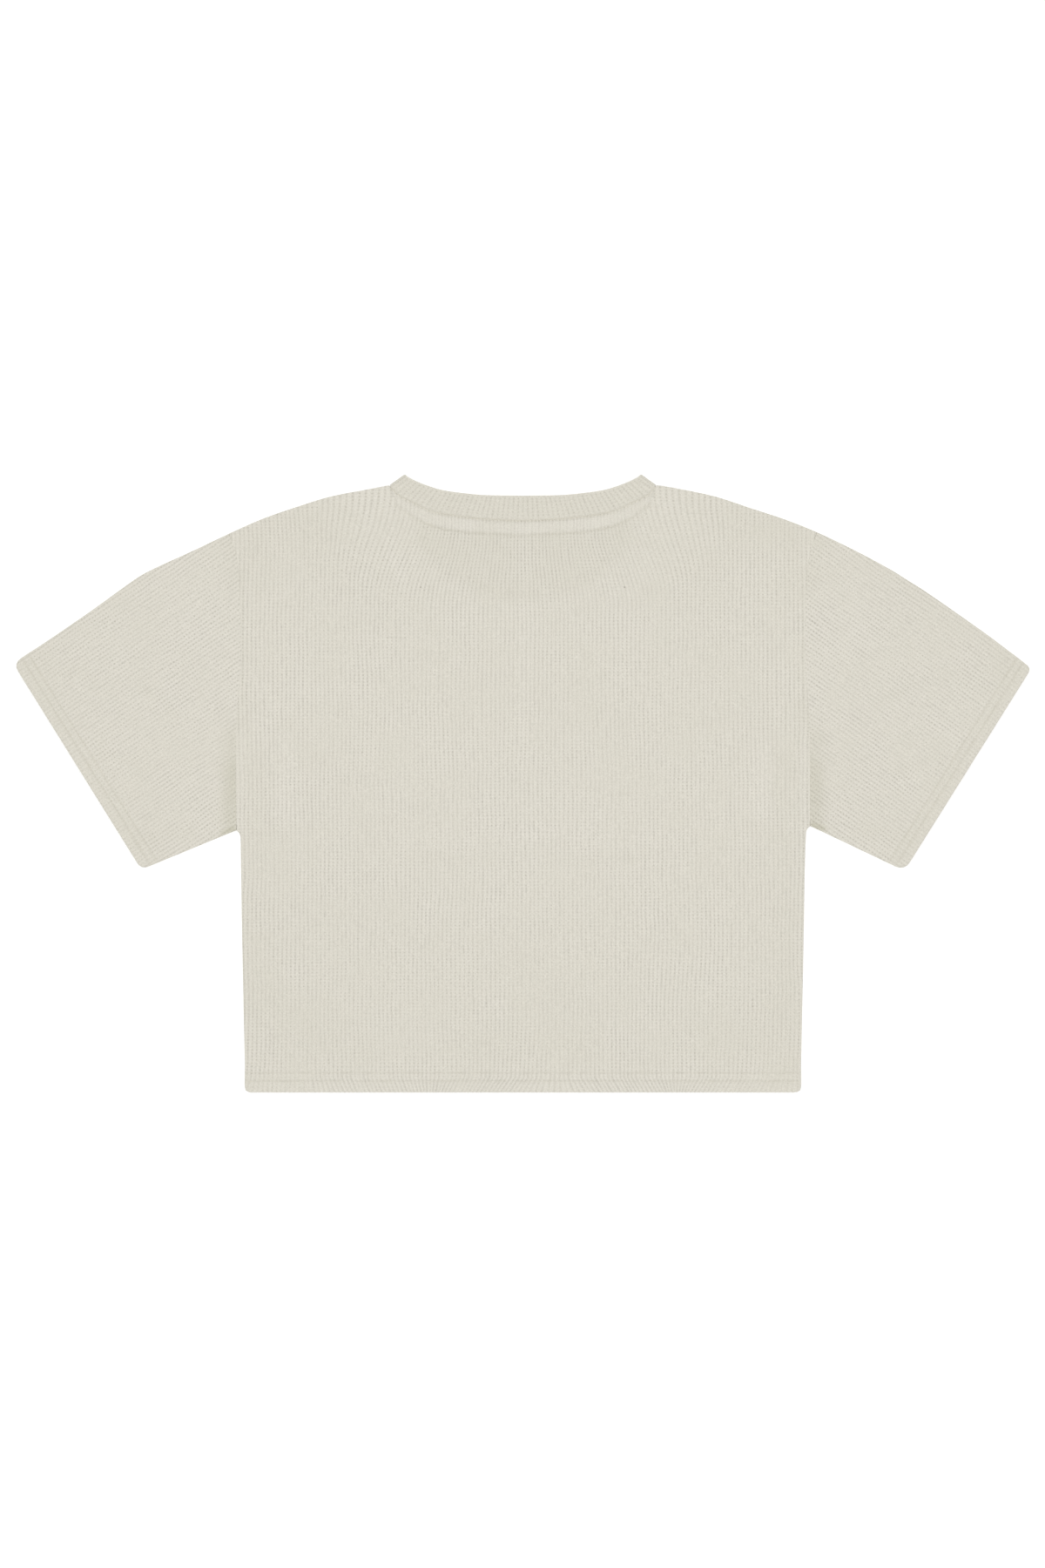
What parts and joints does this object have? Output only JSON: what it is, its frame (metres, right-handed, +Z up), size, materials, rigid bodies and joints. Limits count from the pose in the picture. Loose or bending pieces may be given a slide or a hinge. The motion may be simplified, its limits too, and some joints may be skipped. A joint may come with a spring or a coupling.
{
  "type": "waffle t-shirt",
  "caption": "Cropped boxy drop-shoulder t-shirt in off-white waffle knit, with short sleeves and a narrow crew neck band, laid flat with its back up.",
  "frame": {"origin": "on the surface that the shirt lies on, below the middle of its outline", "axes": "+X towards the wearer's right sleeve, +Y towards the neck, +Z up out of the back of the shirt"},
  "size_m": [0.8257, 0.5034, 0.006],
  "materials": {
    "waffle_knit": "matt off-white cotton waffle knit"
  },
  "bodies": {
    "root": {"back_panel": "waffle_knit", "front_panel": "waffle_knit", "sleeve_left": "waffle_knit", "sleeve_right": "waffle_knit", "neck_band": "waffle_knit"}
  },
  "joints": []
}
